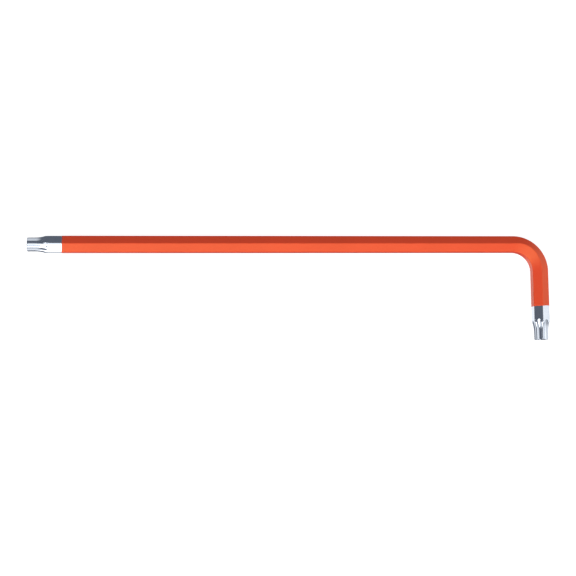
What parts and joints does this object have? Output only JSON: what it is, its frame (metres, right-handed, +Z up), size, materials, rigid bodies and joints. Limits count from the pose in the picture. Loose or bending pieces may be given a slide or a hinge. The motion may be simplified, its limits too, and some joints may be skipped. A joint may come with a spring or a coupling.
{
  "type": "star key",
  "caption": "L-shaped star key: a bent hexagonal steel bar with a long and a short arm, a lobed star tip on each bare end for turning star-recess screws, and a glossy colour coat between.",
  "frame": {"origin": "centre of the key's box, on the surface that the key lies on", "axes": "+X along the long arm from its tip towards the elbow, +Y away from the short arm's tip, +Z up from the surface"},
  "size_m": [0.1634, 0.033, 0.0058],
  "materials": {
    "chrome_steel": "bright plated tool steel with fine drawing lines",
    "colour_coat": "glossy baked orange-red powder coat"
  },
  "bodies": {
    "root": {"steel_bar": "chrome_steel", "colour_coat": "colour_coat"}
  },
  "joints": []
}
